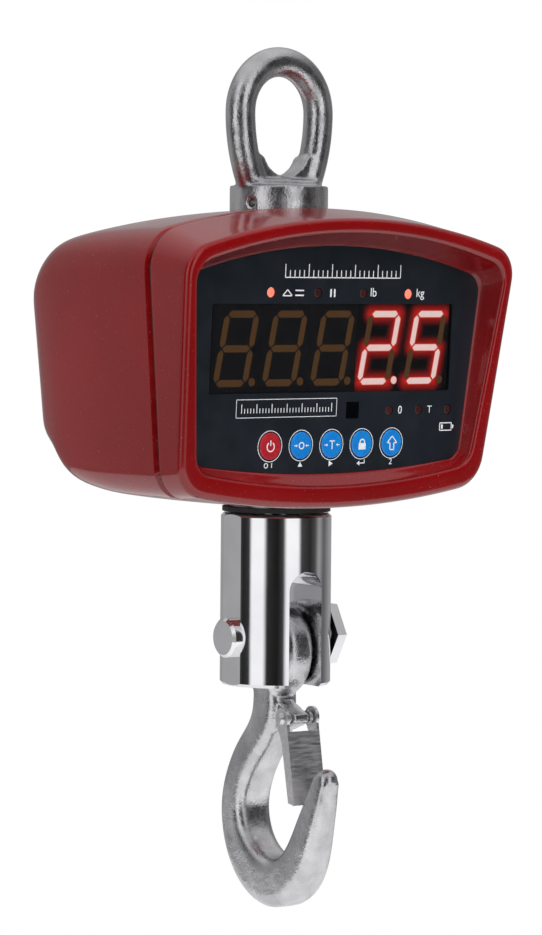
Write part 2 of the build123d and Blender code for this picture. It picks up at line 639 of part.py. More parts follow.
with BuildPart() as ir_window:
    with BuildSketch(PANEL_PLANE.offset(BOARD_FRONT)):
        with Locations(IR_PLACE):
            Rectangle(IR_SIZE, IR_SIZE)
    extrude(amount=-BOARD_FRONT + OVERLAY_T / 2)
ir_window.part.label = "ir_window"
export_step(ir_window.part, "parts/ir_window.step")

with BuildPart() as display_board:
    with BuildSketch(PANEL_PLANE.offset(BOARD_FRONT)):
        with Locations((0, -10)):
            RectangleRounded(164, 88, 3)
    extrude(amount=-BOARD_T)
display_board.part.label = "display_board"
export_step(display_board.part, "parts/display_board.step")

for number in range(1, 6):
    with BuildPart() as digit:
        with BuildSketch(PANEL_PLANE.offset(BOARD_FRONT)):
            with Locations(((number - 3) * DIGIT_PITCH, 0)):
                Rectangle(MODULE_W, MODULE_H)
        extrude(amount=MODULE_FRONT - BOARD_FRONT)
    digit.part.label = f"digit_{number}"
    export_step(digit.part, f"parts/digit_{number}.step")

for number, (u, v) in enumerate(LAMPS, 1):
    with BuildPart() as lamp:
        with BuildSketch(PANEL_PLANE.offset(BOARD_FRONT)):
            with Locations((u, v)):
                Circle(LAMP_R)
        extrude(amount=-BOARD_FRONT + 0.3)
        fillet(lamp.faces().sort_by(Axis.Y)[0].edges(), radius=0.8)
    lamp.part.label = f"lamp_{number}"
    export_step(lamp.part, f"parts/lamp_{number}.step")

# ---- keys and their switches -------------------------------------------------
SWITCH_TOP = -5.8
KEY_NAMES = ("key_power", "key_zero", "key_tare", "key_hold", "key_up")
for number, name in enumerate(KEY_NAMES):
    place = (KEY_ROW[0] + (number - 2) * KEY_PITCH, KEY_ROW[1])
    with BuildPart() as key:
        with BuildSketch(PANEL_PLANE.offset(-4.2)):
            with Locations(place):
                Circle(KEY_R + 1.8)
        extrude(amount=1.0)
        with BuildSketch(PANEL_PLANE.offset(-5.0)):
            with Locations(place):
                Circle(2.0)
        extrude(amount=1.0)
        with BuildSketch(PANEL_PLANE.offset(-3.4)):
            with Locations(place):
                Circle(KEY_R)
        extrude(amount=4.4)
        fillet(key.faces().sort_by(Axis.Y)[0].edges(), radius=0.7)
    key.part.label = name
    export_step(key.part, f"parts/{name}.step")
    with BuildPart() as key_switch:
        with BuildSketch(PANEL_PLANE.offset(BOARD_FRONT)):
            with Locations(place):
                Rectangle(12, 9)
        extrude(amount=3.3)
        with BuildSketch(PANEL_PLANE.offset(BOARD_FRONT)):
            with Locations(place):
                Circle(3.2)
        extrude(amount=SWITCH_TOP - BOARD_FRONT)
    key_switch.part.label = f"key_switch_{number + 1}"
    export_step(key_switch.part, f"parts/key_switch_{number + 1}.step")

# ---- electronics and battery in the rear bay ---------------------------------
with BuildPart() as battery_pack:
    with Locations((BATTERY_X, 33, SHELF_TOP + BATTERY_SIZE[2] / 2)):
        Box(*BATTERY_SIZE)
    chamfer(battery_pack.edges().filter_by(Axis.Z), length=2)
battery_pack.part.label = "battery_pack"
export_step(battery_pack.part, "parts/battery_pack.step")

with BuildPart() as main_board:
    with Locations((MAIN_BOARD_X + BOARD_T / 2, 30, -117)):
        Box(BOARD_T, 66, 74)
    for y, z, width, height, depth in ((20, -100, 14, 10, 5), (42, -104, 10, 10, 12), (30, -128, 20, 16, 4)):
        with Locations((MAIN_BOARD_X + BOARD_T + depth / 2, y, z)):
            Box(depth, width, height)
main_board.part.label = "main_board"
export_step(main_board.part, "parts/main_board.step")

with BuildPart() as battery_door:
    with BuildSketch(door_plane.offset(-1.6)):
        RectangleRounded(DOOR_SIZE[0], DOOR_SIZE[1], 3)
        with GridLocations(1, 2 * DOOR_SCREW_Z, 1, 2):
            Circle(1.45, mode=Mode.SUBTRACT)
    extrude(amount=1.6)
battery_door.part.label = "battery_door"
export_step(battery_door.part, "parts/battery_door.step")

for number, side in enumerate((-1, 1), 1):
    with BuildPart() as door_screw:
        with BuildSketch(door_plane):
            with Locations((0, side * DOOR_SCREW_Z)):
                Circle(2.6)
        extrude(amount=1.2)
        with BuildSketch(door_plane):
            with Locations((0, side * DOOR_SCREW_Z)):
                Circle(1.25)
        extrude(amount=-6)
    door_screw.part.label = f"door_screw_{number}"
    export_step(door_screw.part, f"parts/door_screw_{number}.step")

for number, (x, z) in enumerate(SHELL_SCREWS, 1):
    with BuildPart() as shell_screw:
        add(extrude(disc_facing_front(x, WELL_FLOOR + 3, z, SCREW_HEAD_R), amount=3))
        extrude(disc_facing_front(x, WELL_FLOOR, z, SCREW_R), amount=28)
    shell_screw.part.label = f"shell_screw_{number}"
    export_step(shell_screw.part, f"parts/shell_screw_{number}.step")

with BuildPart() as charging_socket:
    extrude(disc_facing_front(SOCKET_PLACE[0], REAR_Y, SOCKET_PLACE[1], SOCKET_R), amount=13)
    extrude(disc_facing_front(SOCKET_PLACE[0], REAR_Y + 1.5, SOCKET_PLACE[1], SOCKET_R + 2), amount=1.5)
    extrude(disc_facing_front(SOCKET_PLACE[0], REAR_Y + 1.5, SOCKET_PLACE[1], 2.8), amount=10.5,
            mode=Mode.SUBTRACT)
    extrude(disc_facing_front(SOCKET_PLACE[0], REAR_Y, SOCKET_PLACE[1], 1.0), amount=12)
charging_socket.part.label = "charging_socket"
export_step(charging_socket.part, "parts/charging_socket.step")
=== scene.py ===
import json
from math import asin, atan2, cos, hypot, pi, radians, sin, tan

import bmesh
import bpy
from mathutils import Matrix, Vector


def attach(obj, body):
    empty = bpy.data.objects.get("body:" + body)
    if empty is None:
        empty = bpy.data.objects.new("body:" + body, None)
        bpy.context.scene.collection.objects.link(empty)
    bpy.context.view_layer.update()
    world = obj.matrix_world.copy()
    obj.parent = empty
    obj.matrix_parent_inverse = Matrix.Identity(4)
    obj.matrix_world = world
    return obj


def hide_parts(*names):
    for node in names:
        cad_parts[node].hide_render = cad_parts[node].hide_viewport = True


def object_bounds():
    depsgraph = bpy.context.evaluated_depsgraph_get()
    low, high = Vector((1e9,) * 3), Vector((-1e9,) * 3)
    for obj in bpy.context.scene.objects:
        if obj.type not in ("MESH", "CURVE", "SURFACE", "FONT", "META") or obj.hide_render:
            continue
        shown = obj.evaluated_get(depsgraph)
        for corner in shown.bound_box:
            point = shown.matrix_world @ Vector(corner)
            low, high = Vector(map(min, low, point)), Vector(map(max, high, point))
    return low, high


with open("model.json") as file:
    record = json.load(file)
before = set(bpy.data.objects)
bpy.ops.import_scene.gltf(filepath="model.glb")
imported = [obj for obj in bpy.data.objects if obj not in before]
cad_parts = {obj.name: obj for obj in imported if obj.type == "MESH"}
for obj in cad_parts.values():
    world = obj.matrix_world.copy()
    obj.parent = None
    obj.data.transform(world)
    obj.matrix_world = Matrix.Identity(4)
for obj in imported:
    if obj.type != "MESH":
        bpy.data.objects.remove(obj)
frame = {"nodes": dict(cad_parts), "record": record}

MM = 0.001
CAD_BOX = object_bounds()
NODES = frame["nodes"]

# Shared sizes in millimetres, the same as the CAD source.
RIM_Z = -121.7
RIM_Y = -55.0
RIM_SLOPE = tan(radians(8.0))
PANEL_ORIGIN = Vector((0, -42.9, -117.5))
PANEL_TILT = radians(3.2)
RIM_OUTLINE = (107.7, 98.5, -53.0, -197.1, 17.0, 9.7, 17.0, 18.0)
SEAM_OUTLINE = (107.2, 98.5, -48.0, -197.0, 15.0, 8.5, 22.0, 17.0)
LIP_OUTLINE = (100.8, 88.6, -60.7, -185.9, 16.5, 9.0, 12.0, 11.0)
FLOOR_OUTLINE = (97.2, 86.8, -66.5, -179.9, 15.5, 6.0, 11.0, 8.0)
WALL = 3.0
DIGIT_PITCH = 30.9
KEY_PITCH = 19.9
KEY_ROW = (1.3, -48.1)
KEY_R = 6.8
KEY_TOP = 1.0
OVERLAY_TOP = 0.4
SWIVEL_TURN = radians(-5.0)
LATCH_PLACE = (-20.0, -303.7)
SHELL_SCREWS = ((-89.0, -76.0), (89.0, -76.0), (-83.0, -179.0), (83.0, -179.0))
WELL_R = 4.2

# Rear shell, from the seam to the back: depth, then the outline there.
REAR_STATIONS = (
    (-29.7, (107.2, 98.5, -48.0, -197.0, 15.0, 8.5, 22.0, 17.0)),
    (-29.0, (107.2, 98.5, -48.0, -197.0, 15.0, 8.5, 22.0, 17.0)),
    (-10.0, (107.0, 98.3, -48.2, -197.0, 14.9, 8.4, 22.0, 17.0)),
    (10.0, (106.5, 97.9, -48.8, -196.8, 14.7, 8.2, 22.0, 17.0)),
    (24.0, (106.1, 97.5, -49.6, -195.8, 14.5, 7.8, 22.0, 16.5)),
    (35.0, (105.7, 97.1, -50.6, -194.0, 14.2, 7.2, 21.5, 16.0)),
    (44.0, (105.3, 96.7, -52.0, -191.9, 13.8, 6.6, 21.0, 15.0)),
    (50.0, (105.0, 96.4, -53.3, -189.5, 13.4, 6.0, 20.5, 14.5)),
    (55.0, (104.7, 96.0, -54.7, -186.3, 12.9, 5.4, 20.0, 14.0)),
    (59.0, (104.3, 95.5, -56.4, -182.0, 12.3, 5.0, 19.5, 13.5)),
    (62.5, (103.8, 94.9, -58.5, -177.7, 11.6, 4.6, 19.0, 13.0)),
    (66.5, (103.0, 94.1, -61.6, -174.3, 10.8, 4.3, 18.5, 12.5)),
    (70.5, (101.8, 92.9, -65.6, -171.7, 9.9, 4.0, 18.0, 12.0)),
    (74.0, (100.1, 91.2, -70.0, -168.8, 9.0, 3.8, 17.0, 11.5)),
    (76.8, (97.9, 89.0, -74.8, -165.2, 8.2, 3.6, 16.0, 11.0)),
    (78.7, (95.4, 86.6, -79.5, -161.4, 7.5, 3.4, 15.0, 10.5)),
    (79.4, (92.6, 84.0, -84.0, -157.8, 7.0, 3.2, 14.0, 10.0)),
)


# ---- node materials ----------------------------------------------------------
class Finish:
    """A procedural material built up on one Principled shader."""

    def __init__(self, name, colour, roughness, metallic=0.0):
        self.material = bpy.data.materials.new(name)
        self.material.use_nodes = True
        self.tree = self.material.node_tree
        self.shader = self.tree.nodes["Principled BSDF"]
        self.place = self.node("ShaderNodeTexCoord").outputs["Object"]
        self.height = None
        self.set("Base Color", (*colour, 1.0))
        self.set("Roughness", roughness)
        self.set("Metallic", metallic)
        self.material.diffuse_color = (*colour, 1.0)

    def node(self, kind):
        return self.tree.nodes.new(kind)

    def set(self, socket, value):
        self.shader.inputs[socket].default_value = value

    def link(self, output, target):
        self.tree.links.new(output, target)

    def noise(self, scale, detail=2.0, stretch=(1, 1, 1), distortion=0.0):
        mapping = self.node("ShaderNodeMapping")
        mapping.inputs["Scale"].default_value = stretch
        self.link(self.place, mapping.inputs["Vector"])
        noise = self.node("ShaderNodeTexNoise")
        noise.inputs["Scale"].default_value = scale
        noise.inputs["Detail"].default_value = detail
        noise.inputs["Distortion"].default_value = distortion
        self.link(mapping.outputs["Vector"], noise.inputs["Vector"])
        return noise.outputs["Fac"]

    def ramp(self, factor, *stops):
        ramp = self.node("ShaderNodeValToRGB")
        elements = ramp.color_ramp.elements
        while len(elements) < len(stops):
            elements.new(0.5)
        for element, (position, colour) in zip(elements, stops):
            element.position = position
            shade = colour if isinstance(colour, tuple) else (colour, colour, colour)
            element.color = (*shade, 1.0)
        self.link(factor, ramp.inputs["Fac"])
        return ramp.outputs["Color"]

    def mix(self, factor, low, high):
        mix = self.node("ShaderNodeMix")
        mix.data_type = "RGBA"
        for socket, value in ((mix.inputs[0], factor), (mix.inputs[6], low), (mix.inputs[7], high)):
            if isinstance(value, tuple):
                socket.default_value = (*value, 1.0)
            elif isinstance(value, float):
                socket.default_value = value
            else:
                self.link(value, socket)
        return mix.outputs[2]

    def bump(self, height, strength, distance):
        bump = self.node("ShaderNodeBump")
        bump.inputs["Strength"].default_value = strength
        bump.inputs["Distance"].default_value = distance
        self.link(height, bump.inputs["Height"])
        if self.height is not None:
            self.link(self.height, bump.inputs["Normal"])
        self.height = bump.outputs["Normal"]
        self.link(self.height, self.shader.inputs["Normal"])

    def colour(self, output):
        self.link(output, self.shader.inputs["Base Color"])

    def roughness(self, output):
        self.link(output, self.shader.inputs["Roughness"])


def red_shell():
    """Glossy dark red moulding with a faint orange peel and stray dust."""
    finish = Finish("red_shell", (0.225, 0.0025, 0.004), 0.2)
    cloud = finish.ramp(finish.noise(14), (0.3, (0.178, 0.0018, 0.0026)), (0.7, (0.222, 0.0027, 0.0040)))
    dust = finish.ramp(finish.noise(1500, 1.0), (0.735, 0.0), (0.78, 1.0))
    finish.colour(finish.mix(dust, cloud, (0.42, 0.13, 0.12)))
    finish.roughness(finish.ramp(finish.noise(55, 3.0), (0.3, 0.13), (0.75, 0.21)))
    finish.set("Specular IOR Level", 0.35)
    finish.set("Coat Weight", 0.5)
    finish.set("Coat Roughness", 0.04)
    finish.bump(finish.noise(420, 1.0), 0.10, 0.00012)
    finish.bump(finish.noise(60, 1.0), 0.08, 0.0006)
    return finish.material


def panel_film():
    """Blue-black printed polyester film with a very fine satin grain."""
    finish = Finish("panel_film", (0.006, 0.0095, 0.014), 0.34)
    cloud = finish.noise(30, 3.0)
    finish.colour(finish.ramp(cloud, (0.3, (0.0052, 0.0082, 0.012)), (0.7, (0.0075, 0.011, 0.0165))))
    finish.roughness(finish.ramp(finish.noise(90, 3.0), (0.3, 0.28), (0.7, 0.40)))
    finish.bump(finish.noise(2600, 1.0), 0.12, 0.00006)
    return finish.material


def smoked_window():
    """Smoked film that lets the digits through."""
    finish = Finish("smoked_window", (0.004, 0.005, 0.007), 0.16)
    finish.roughness(finish.ramp(finish.noise(70, 3.0), (0.3, 0.12), (0.7, 0.2)))
    finish.bump(finish.noise(900, 1.0), 0.04, 0.00005)
    finish.set("Alpha", 0.3)
    return finish.material


def digit_face():
    """Black reflector face of a digit module."""
    finish = Finish("digit_face", (0.008, 0.008, 0.009), 0.5)
    cloud = finish.noise(120, 2.0)
    finish.colour(finish.ramp(cloud, (0.3, (0.006, 0.006, 0.007)), (0.7, (0.012, 0.010, 0.010))))
    finish.bump(finish.noise(1200, 1.0), 0.2, 0.00008)
    return finish.material


def glowing(name, colour, rim, core, strength):
    """A glowing surface, brightest where its warmth is high: a lit light guide along its middle, and painted
    glow on unlit segments and module faces.
    """
    finish = Finish(name, colour, 0.35)
    heat = finish.node("ShaderNodeAttribute")
    heat.attribute_name = "warmth"
    shade = finish.ramp(heat.outputs["Fac"], (0.0, rim), (0.5, core), (1.0, core))
    ripple = finish.ramp(finish.noise(500, 1.0), (0.2, 0.9), (0.8, 1.0))
    blend = finish.node("ShaderNodeMix")
    blend.data_type = "RGBA"
    blend.blend_type = "MULTIPLY"
    blend.inputs[0].default_value = 1.0
    finish.link(shade, blend.inputs[6])
    finish.link(ripple, blend.inputs[7])
    finish.link(blend.outputs[2], finish.shader.inputs["Emission Color"])
    finish.set("Emission Strength", strength)
    return finish.material


def key_cap(name, colour, dark):
    """Domed key under printed film, a little uneven in colour."""
    finish = Finish(name, colour, 0.26)
    finish.colour(finish.ramp(finish.noise(160, 2.0), (0.3, dark), (0.7, colour)))
    finish.roughness(finish.ramp(finish.noise(260, 3.0), (0.3, 0.22), (0.7, 0.34)))
    finish.set("Coat Weight", 0.4)
    finish.set("Coat Roughness", 0.12)
    finish.bump(finish.noise(1500, 1.0), 0.1, 0.00006)
    return finish.material


def forged_metal():
    """Zinc-plated forging: grainy, dented and unevenly bright."""
    finish = Finish("plated_forging", (0.50, 0.50, 0.51), 0.28, 1.0)
    blotch = finish.noise(70, 4.0, distortion=0.4)
    shades = ((0.25, (0.42, 0.42, 0.435)), (0.6, (0.62, 0.62, 0.63)), (0.85, (0.76, 0.755, 0.75)))
    finish.colour(finish.ramp(blotch, *shades))
    finish.roughness(finish.ramp(finish.noise(190, 4.0), (0.25, 0.17), (0.75, 0.36)))
    finish.bump(finish.noise(130, 3.0), 0.5, 0.0010)
    finish.bump(finish.noise(1100, 3.0), 0.5, 0.00025)
    return finish.material


def bright_plate():
    """Polished nickel-chrome plate over turned steel."""
    finish = Finish("bright_plate", (0.80, 0.80, 0.81), 0.08, 1.0)
    finish.colour(finish.ramp(finish.noise(40, 3.0), (0.3, (0.74, 0.74, 0.76)), (0.7, (0.84, 0.84, 0.84))))
    finish.roughness(finish.ramp(finish.noise(120, 4.0, (1, 1, 0.15)), (0.3, 0.05), (0.8, 0.14)))
    finish.bump(finish.noise(45, 2.0, (1, 1, 0.25)), 0.12, 0.0005)
    finish.bump(finish.noise(1700, 1.0), 0.06, 0.00005)
    return finish.material


def cast_plate():
    """Stainless finish of the small latch parts: bright, lightly scuffed."""
    finish = Finish("latch_plate", (0.74, 0.74, 0.75), 0.16, 1.0)
    scuff = finish.noise(900, 3.0, (0.12, 1, 1))
    finish.colour(finish.ramp(scuff, (0.3, (0.62, 0.62, 0.64)), (0.7, (0.80, 0.80, 0.80))))
    finish.roughness(finish.ramp(scuff, (0.3, 0.30), (0.75, 0.46)))
    finish.bump(finish.noise(300, 3.0), 0.2, 0.0002)
    return finish.material


def plain_metal(name, colour, low, high, grain):
    """Machined or drawn steel with a directional grain."""
    finish = Finish(name, colour, (low + high) / 2, 1.0)
    streak = finish.noise(grain, 3.0, (1, 1, 0.1))
    dark = tuple(0.8 * value for value in colour)
    finish.colour(finish.ramp(streak, (0.3, dark), (0.7, colour)))
    finish.roughness(finish.ramp(streak, (0.3, low), (0.7, high)))
    finish.bump(streak, 0.15, 0.0001)
    return finish.material


def moulded(name, colour, low, high, grain):
    """Rubber, plastic or board: mottled colour over a fine grain."""
    finish = Finish(name, colour, (low + high) / 2)
    light = tuple(1.5 * value + 0.002 for value in colour)
    finish.colour(finish.ramp(finish.noise(grain / 6, 3.0), (0.3, colour), (0.75, light)))
    finish.roughness(finish.ramp(finish.noise(grain / 3, 3.0), (0.3, low), (0.7, high)))
    finish.bump(finish.noise(grain, 2.0), 0.3, 0.0001)
    return finish.material


def ink():
    """White screen-printed ink."""
    finish = Finish("white_ink", (0.78, 0.80, 0.82), 0.5)
    finish.colour(finish.ramp(finish.noise(700, 2.0), (0.3, (0.66, 0.68, 0.70)), (0.7, (0.82, 0.83, 0.85))))
    finish.bump(finish.noise(1800, 1.0), 0.15, 0.00004)
    return finish.material


RED_CORE = (1.0, 0.84, 0.80)
RED_RIM = (1.0, 0.10, 0.06)
FINISHES = {
    "red_shell": red_shell(),
    "panel_film": panel_film(),
    "smoked_window": smoked_window(),
    "digit_face": digit_face(),
    "key_blue": key_cap("key_blue", (0.006, 0.21, 0.62), (0.004, 0.17, 0.53)),
    "key_red": key_cap("key_red", (0.40, 0.014, 0.024), (0.32, 0.009, 0.018)),
    "plated_forging": forged_metal(),
    "bright_plate": bright_plate(),
    "spring_steel": plain_metal("spring_steel", (0.52, 0.52, 0.54), 0.2, 0.34, 600),
    "machined_steel": plain_metal("machined_steel", (0.55, 0.55, 0.56), 0.26, 0.4, 500),
    "screw_steel": plain_metal("screw_steel", (0.34, 0.34, 0.36), 0.28, 0.42, 700),
    "black_rubber": moulded("black_rubber", (0.012, 0.012, 0.013), 0.6, 0.8, 900),
    "circuit_board": moulded("circuit_board", (0.008, 0.07, 0.028), 0.35, 0.5, 500),
    "black_plastic": moulded("black_plastic", (0.014, 0.014, 0.015), 0.38, 0.52, 1200),
    "battery_case": moulded("battery_case", (0.03, 0.032, 0.036), 0.42, 0.58, 900),
}
LATCH_PLATE = cast_plate()
WHITE_INK = ink()
LAMP_LIT = glowing("lamp_lit", (0.3, 0.02, 0.015), (1.0, 0.20, 0.13), (1.0, 0.62, 0.52), 1.5)
LAMP_DARK = moulded("lamp_dark", (0.030, 0.006, 0.005), 0.2, 0.32, 500)
SEGMENT_LIT = glowing("segment_lit", (0.4, 0.05, 0.04), RED_RIM, RED_CORE, 1.35)
# Unlit segments: a faint painted amber glow that stands in for light falling on them through the window.
SEGMENT_UNLIT_GLOW = glowing("segment_unlit_painted_glow", (0.17, 0.085, 0.03), (0.030, 0.013, 0.004), (0.046, 0.021, 0.006), 1.0)
# Painted red glow of the lit segments' spill on the module faces.
HALO = glowing("digit_halo", (0.008, 0.006, 0.006), (0.0, 0.0, 0.0), (0.95, 0.022, 0.014), 1.0)
FINISHES["lamp_lens"] = LAMP_DARK


def dress_cad():
    """Give every CAD node its procedural finish."""
    for row in frame["record"]["subparts"]:
        mesh = NODES[row["node"]].data
        mesh.materials.clear()
        mesh.materials.append(FINISHES[row["material_slot"]])
    for node in ("lamp_1", "lamp_4"):
        NODES[node].data.materials[0] = LAMP_LIT
    for node in ("latch", "latch_rivet"):
        NODES[node].data.materials[0] = LATCH_PLATE


# ---- mesh helpers --------------------------------------------------------------
def new_piece(name, mesh, body, material, smooth_angle=35.0):
    """Link a mesh as a piece that rides on a body."""
    piece = bpy.data.objects.new(name, mesh)
    bpy.context.scene.collection.objects.link(piece)
    mesh.materials.clear()
    mesh.materials.append(material)
    mesh.polygons.foreach_set("use_smooth", [True] * len(mesh.polygons))
    mesh.set_sharp_from_angle(angle=radians(smooth_angle))
    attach(piece, body)
    return piece


def mesh_of(name, points, faces):
    """A mesh from points in millimetres, with its faces turned outwards."""
    mesh = bpy.data.meshes.new(name)
    mesh.from_pydata([tuple(c * MM for c in point) for point in points], [], faces)
    work = bmesh.new()
    work.from_mesh(mesh)
    bmesh.ops.recalc_face_normals(work, faces=work.faces)
    work.to_mesh(mesh)
    work.free()
    return mesh


def baked(piece):
    """Replace a piece's mesh by the result of its modifiers."""
    graph = bpy.context.evaluated_depsgraph_get()
    mesh = bpy.data.meshes.new_from_object(piece.evaluated_get(graph))
    piece.modifiers.clear()
    piece.data = mesh
    return mesh


def scratch(mesh):
    """A temporary object that carries modifiers or cuts another one."""
    piece = bpy.data.objects.new("scratch", mesh)
    bpy.context.scene.collection.objects.link(piece)
    return piece


def cut(mesh, cutters, solver="EXACT"):
    """Subtract meshes from a mesh, one after another."""
    work = bmesh.new()
    work.from_mesh(mesh)
    bmesh.ops.triangulate(work, faces=work.faces)
    work.to_mesh(mesh)
    work.free()
    piece = scratch(mesh)
    for cutter in cutters:
        tool = scratch(cutter)
        boolean = piece.modifiers.new("cut", "BOOLEAN")
        boolean.operation = "DIFFERENCE"
        boolean.solver = solver
        boolean.object = tool
        mesh = baked(piece)
        bpy.data.objects.remove(tool)
    bpy.data.objects.remove(piece)
    return mesh


def cylinder(start, end, radius, sides=72):
    """A cylinder mesh between two points in millimetres."""
    start = Vector(start)
    end = Vector(end)
    axis = (end - start).normalized()
    across = axis.orthogonal().normalized()
    beside = axis.cross(across)
    points = []
    for centre in (start, end):
        for step in range(sides):
            angle = 2 * pi * step / sides
            points.append(centre + radius * (cos(angle) * across + sin(angle) * beside))
    faces = [tuple(range(sides)), tuple(range(sides, 2 * sides))]
    faces += [(i, (i + 1) % sides, sides + (i + 1) % sides, sides + i) for i in range(sides)]
    return mesh_of("cylinder", points, faces)


def block(low, high):
    """A cutting block between two corners in millimetres."""
    xs, ys, zs = zip(low, high)
    points = [(x, y, z) for x in xs for y in ys for z in zs]
    faces = [(0, 1, 3, 2), (4, 6, 7, 5), (0, 4, 5, 1), (2, 3, 7, 6), (0, 2, 6, 4), (1, 5, 7, 3)]
    return mesh_of("block", points, faces)


def joined(meshes):
    """One mesh from several that do not touch."""
    work = bmesh.new()
    for mesh in meshes:
        work.from_mesh(mesh)
    mesh = bpy.data.meshes.new("joined")
    work.to_mesh(mesh)
    work.free()
    return mesh


def loft(name, rings, wrap=False):
    """Quads between rings of points; the ends are capped unless the rings wrap."""
    count = len(rings[0])
    points = [point for ring in rings for point in ring]
    faces = []
    for row in range(len(rings) if wrap else len(rings) - 1):
        here = row * count
        there = (row + 1) % len(rings) * count
        for i in range(count):
            j = (i + 1) % count
            faces.append((here + i, here + j, there + j, there + i))
    if not wrap:
        faces.append(tuple(range(count)))
        faces.append(tuple(range(len(points) - count, len(points))))
    return mesh_of(name, points, faces)


# ---- housing -------------------------------------------------------------------
def bend(start, heading_in, heading_out, end, radius, turn, steps):
    """Points round a corner, without its two ends."""
    reach = 4 / 3 * tan(turn / 4) * radius
    first = (start[0] + reach * heading_in[0], start[1] + reach * heading_in[1])
    second = (end[0] - reach * heading_out[0], end[1] - reach * heading_out[1])
    handles = (start, first, second, end)
    points = []
    for step in range(1, steps):
        t = step / steps
        weights = ((1 - t) ** 3, 3 * t * (1 - t) ** 2, 3 * t * t * (1 - t), t ** 3)
        points.append(tuple(sum(w * p[axis] for w, p in zip(weights, handles)) for axis in (0, 1)))
    return points


def half_outline(outline):
    """Points (x, z) down the right half of a housing outline, top centre to bottom centre."""
    w_top, w_bottom, z_top, z_bottom, crown, belly, r_top, r_bottom = outline
    big_top = (w_top ** 2 + crown ** 2) / (2 * crown)
    big_bottom = (w_bottom ** 2 + belly ** 2) / (2 * belly)
    top_angle = asin(w_top / big_top)
    bottom_angle = asin(w_bottom / big_bottom)
    top_corner = (w_top, z_top - crown)
    bottom_corner = (w_bottom, z_bottom + belly)
    drop = hypot(bottom_corner[0] - top_corner[0], bottom_corner[1] - top_corner[1])
    side = ((bottom_corner[0] - top_corner[0]) / drop, (bottom_corner[1] - top_corner[1]) / drop)
    down = atan2(-side[1], side[0])
    top_turn = down - top_angle
    bottom_turn = pi - bottom_angle - down
    top_cut = r_top * tan(top_turn / 2)
    bottom_cut = r_bottom * tan(bottom_turn / 2)
    top_end = top_angle - top_cut / big_top
    bottom_end = bottom_angle - bottom_cut / big_bottom
    points = []
    for step in range(15):
        angle = top_end * step / 14
        points.append((big_top * sin(angle), z_top - big_top + big_top * cos(angle)))
    side_start = (top_corner[0] + top_cut * side[0], top_corner[1] + top_cut * side[1])
    side_end = (bottom_corner[0] - bottom_cut * side[0], bottom_corner[1] - bottom_cut * side[1])
    heading = (cos(top_end), -sin(top_end))
    points += bend(points[-1], heading, side, side_start, r_top, top_turn, 9)
    for step in range(9):
        t = step / 8
        points.append(tuple((1 - t) * side_start[axis] + t * side_end[axis] for axis in (0, 1)))
    low = (big_bottom * sin(bottom_end), z_bottom + big_bottom - big_bottom * cos(bottom_end))
    heading = (-cos(bottom_end), -sin(bottom_end))
    points += bend(side_end, side, heading, low, r_bottom, bottom_turn, 9)
    for step in range(15):
        angle = bottom_end * (1 - step / 14)
        points.append((big_bottom * sin(angle), z_bottom + big_bottom - big_bottom * cos(angle)))
    return points


def ring(outline, depth, slope=0.0, pivot=RIM_Z):
    """An outline once round, on a plane at a depth that leans back by a slope."""
    right = half_outline(outline)
    flat = right + [(-x, z) for x, z in reversed(right[1:-1])]
    return [(x, depth - (z - pivot) * slope, z) for x, z in flat]


def inset(outline, by):
    """The same outline, moved inwards."""
    w_top, w_bottom, z_top, z_bottom, crown, belly, r_top, r_bottom = outline
    return (w_top - by, w_bottom - by, z_top - by, z_bottom + by, crown, belly,
            max(r_top - by, 0.8), max(r_bottom - by, 0.8))


def between(first, second, t):
    """A mix of two outlines."""
    return tuple((1 - t) * a + t * b for a, b in zip(first, second))


def build_front_shell():
    """Front shell as one wall: outer wedge, rounded rim, sunken lip and inner face."""
    panel_slope = tan(PANEL_TILT)
    panel_y = PANEL_ORIGIN.y - (RIM_Z - PANEL_ORIGIN.z) * panel_slope
    rounding = 3.4
    lip_rounding = 2.4
    seam_y = -30.3
    rings = [ring(SEAM_OUTLINE, seam_y), ring(SEAM_OUTLINE, seam_y - 0.5, 0.5 * RIM_SLOPE / 25)]
    for step in range(1, 6):
        t = step / 6
        rings.append(ring(between(SEAM_OUTLINE, RIM_OUTLINE, t), seam_y + (RIM_Y + rounding - seam_y) * t,
                          RIM_SLOPE * t))
    for step in range(9):
        angle = pi / 2 * step / 8
        shrunk = inset(RIM_OUTLINE, rounding * (1 - cos(angle)))
        rings.append(ring(shrunk, RIM_Y + rounding * (1 - sin(angle)), RIM_SLOPE))
    for step in range(7):
        angle = pi / 2 * step / 6
        rings.append(ring(inset(LIP_OUTLINE, -lip_rounding * (1 - sin(angle))),
                          RIM_Y + lip_rounding * (1 - cos(angle)), RIM_SLOPE))
    for step in range(1, 5):
        t = step / 4
        slope = RIM_SLOPE + (panel_slope - RIM_SLOPE) * t
        start = RIM_Y + lip_rounding
        rings.append(ring(between(LIP_OUTLINE, FLOOR_OUTLINE, t), start + (panel_y + 0.4 - start) * t, slope))
    rings.append(ring(inset(FLOOR_OUTLINE, 4.0), panel_y + 0.45, panel_slope))
    rings.append(ring(inset(FLOOR_OUTLINE, 4.0), panel_y + 2.9, panel_slope))
    rings.append(ring(inset(SEAM_OUTLINE, WALL + 1.0), seam_y - 2.0))
    rings.append(ring(inset(SEAM_OUTLINE, WALL), seam_y))
    mesh = loft("front_case", rings, wrap=True)
    case = new_piece("front_case", mesh, "housing", FINISHES["red_shell"], 40.0)
    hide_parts("front_shell")
    smooth = case.modifiers.new("round", "SUBSURF")
    smooth.levels = 1
    smooth.render_levels = 1


